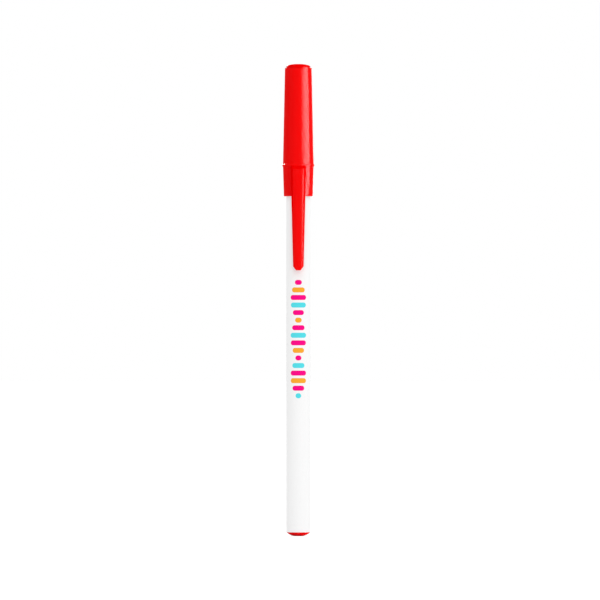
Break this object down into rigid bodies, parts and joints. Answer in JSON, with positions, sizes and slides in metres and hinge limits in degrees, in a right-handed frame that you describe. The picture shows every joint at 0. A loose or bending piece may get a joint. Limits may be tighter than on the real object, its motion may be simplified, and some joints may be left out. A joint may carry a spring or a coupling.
{
  "type": "stick ballpoint pen",
  "caption": "Slim stick ballpoint pen: straight white barrel, domed red end plug, red tapered nose with a brass point, and a red pull-off cap with a moulded pocket clip.",
  "frame": {"origin": "centre of the small flat on the tail of the pen", "axes": "+Z along the pen from the tail to the end of the cap, clip on the -Y side"},
  "size_m": [0.0102, 0.0115, 0.15],
  "materials": {
    "white_plastic": "gloss",
    "red_plastic": "gloss",
    "brass": "polished",
    "ball_metal": "polished",
    "tube_plastic": "milky satin",
    "red_ink": "wet"
  },
  "bodies": {
    "pen": {"barrel": "white_plastic", "end_plug": "red_plastic", "nose": "red_plastic", "ink_tube": "tube_plastic", "ink": "red_ink", "point": "brass"},
    "cap": {"cap": "red_plastic"},
    "ball": {"ball": "ball_metal"}
  },
  "joints": [
    {"name": "cap_pull", "type": "slide", "parent": "pen", "child": "cap", "axis": [0, 0, 1], "range_m": [0, 0.036]},
    {"name": "ball_roll", "type": "hinge", "parent": "pen", "child": "ball", "pos_m": [0, 0, 0.13798], "axis": [1, 0, 0], "continuous": true}
  ]
}
